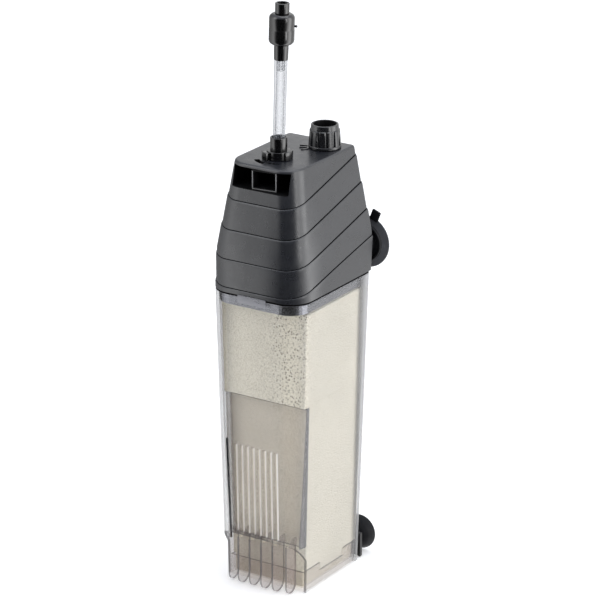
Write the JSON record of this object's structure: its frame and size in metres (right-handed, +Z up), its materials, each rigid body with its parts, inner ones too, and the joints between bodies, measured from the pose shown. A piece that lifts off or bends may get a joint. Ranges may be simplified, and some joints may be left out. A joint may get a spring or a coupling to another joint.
{
  "type": "internal aquarium filter",
  "caption": "Submersible foam filter: ribbed pump head on a clear tapered canister, swivelling nozzle, air pipe with valve, regulator knob and suction cups.",
  "frame": {"origin": "middle of the base, on the surface it stands on", "axes": "+Z up along the canister, -Y towards the front with the nozzle and the intake, +X to the right seen from the front"},
  "size_m": [0.096, 0.1114, 0.4416],
  "materials": {
    "clear_plastic": "clear, polished",
    "smoked_plastic": "smoked, translucent",
    "foam": "open-cell foam",
    "head_plastic": "fine texture",
    "collar_plastic": "satin",
    "inner_plastic": "plain moulded",
    "black_gloss": "polished",
    "bracket_black": "satin",
    "cup_rubber": "soft",
    "seal_rubber": "soft",
    "white_plastic": "plain moulded",
    "magnet": "sintered",
    "steel": "ground",
    "ceramic": "ground",
    "lamination": "stacked sheet",
    "winding": "enamelled wire"
  },
  "bodies": {
    "canister": {"canister": "clear_plastic", "base_tray": "smoked_plastic", "intake_guide": "smoked_plastic", "foam_lower": "foam", "foam_upper": "foam", "foot_bracket": "bracket_black", "foot_cups": "cup_rubber"},
    "pump_head": {"head_shell": "head_plastic", "rim_seal": "seal_rubber", "head_base": "collar_plastic", "cup_bracket": "bracket_black", "head_cups": "cup_rubber", "inlet_grid": "collar_plastic", "pump_volute": "inner_plastic", "pump_shaft": "ceramic", "lower_bush": "seal_rubber", "upper_bush": "seal_rubber", "motor_housing": "inner_plastic", "stator_core": "lamination", "stator_coil": "winding", "discharge_duct": "inner_plastic", "duct_seal": "seal_rubber", "bypass_channel": "inner_plastic", "cable_gland": "bracket_black", "cover_screws": "steel"},
    "impeller": {"impeller": "white_plastic", "rotor_magnet": "magnet"},
    "regulator": {"regulator_knob": "black_gloss", "regulator_drum": "inner_plastic"},
    "nozzle": {"nozzle_spout": "black_gloss", "turret_collar": "black_gloss", "pipe_socket": "black_gloss", "air_pipe": "clear_plastic", "valve_stem": "black_gloss"},
    "air_valve": {"valve_barrel": "black_gloss", "valve_cap": "black_gloss"}
  },
  "joints": [
    {"name": "head_lift", "type": "slide", "parent": "canister", "child": "pump_head", "axis": [0, 0, 1], "range_m": [0, 0.08]},
    {"name": "impeller_spin", "type": "hinge", "parent": "pump_head", "child": "impeller", "pos_m": [0, 0.014, 0.25], "axis": [0, 0, 1], "continuous": true},
    {"name": "regulator_turn", "type": "hinge", "parent": "pump_head", "child": "regulator", "pos_m": [0.0133, 0.0265, 0.33], "axis": [0, 0, 1], "range_deg": [-45, 45]},
    {"name": "nozzle_turn", "type": "hinge", "parent": "pump_head", "child": "nozzle", "pos_m": [0, -0.014, 0.317], "axis": [0, 0, 1], "range_deg": [-32, 18]},
    {"name": "valve_turn", "type": "hinge", "parent": "nozzle", "child": "air_valve", "pos_m": [0.00199, -0.01271, 0.42337], "axis": [0.022, 0.0142, 0.9997], "range_deg": [-90, 90]}
  ]
}
